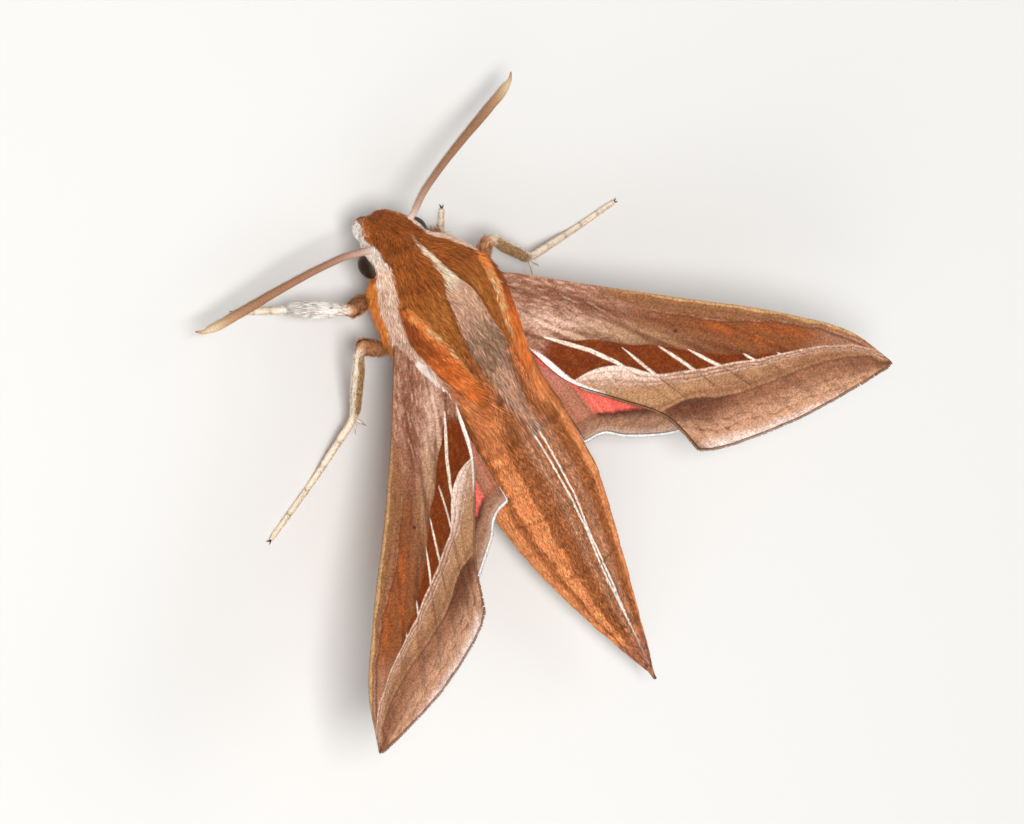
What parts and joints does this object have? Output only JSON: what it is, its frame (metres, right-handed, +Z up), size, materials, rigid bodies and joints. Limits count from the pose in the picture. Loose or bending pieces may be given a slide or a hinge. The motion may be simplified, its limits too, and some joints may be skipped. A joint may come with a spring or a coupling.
{
  "type": "double-striped basiothia hawkmoth",
  "caption": "Life-size hawkmoth standing with its long forewings half spread over smaller hindwings, antennae held out and a pointed striped body.",
  "frame": {"origin": "on the ground, under the middle of the moth's bounding box", "axes": "+Z up, -Y towards the head, +X towards the moth's left side"},
  "size_m": [0.0472, 0.0414, 0.0136],
  "materials": {
    "thorax_fur": "soft hair-like scales, orange-brown with a pale stripe",
    "tegula_scales": "sleek scales with a golden edge",
    "abdomen_scales": "sleek scales, orange and brown bands with a double pale line",
    "tail_hair": "long flat scales",
    "head_fur": "short dense scales",
    "eye_facets": "glossy with fine facets",
    "tongue_skin": "smooth and horny",
    "antenna_scales": "fine pale scales on ringed segments",
    "forewing_scales": "powdery scales in bands of brown, tan and pinkish grey",
    "hindwing_scales": "powdery scales, brick red with a brown band",
    "leg_scales": "cream scales, brown on the thighs"
  },
  "bodies": {
    "root": {"thorax": "thorax_fur", "abdomen": "abdomen_scales", "tail_tuft": "tail_hair", "head": "head_fur", "eye_left": "eye_facets", "eye_right": "eye_facets", "palp_left": "head_fur", "palp_right": "head_fur", "tongue": "tongue_skin", "antenna_left": "antenna_scales", "antenna_right": "antenna_scales", "tegula_left": "tegula_scales", "tegula_right": "tegula_scales", "forewing_left": "forewing_scales", "forewing_right": "forewing_scales", "hindwing_left": "hindwing_scales", "hindwing_right": "hindwing_scales", "foreleg_left": "leg_scales", "foreleg_right": "leg_scales", "midleg_left": "leg_scales", "midleg_right": "leg_scales", "hindleg_left": "leg_scales", "hindleg_right": "leg_scales"}
  },
  "joints": []
}
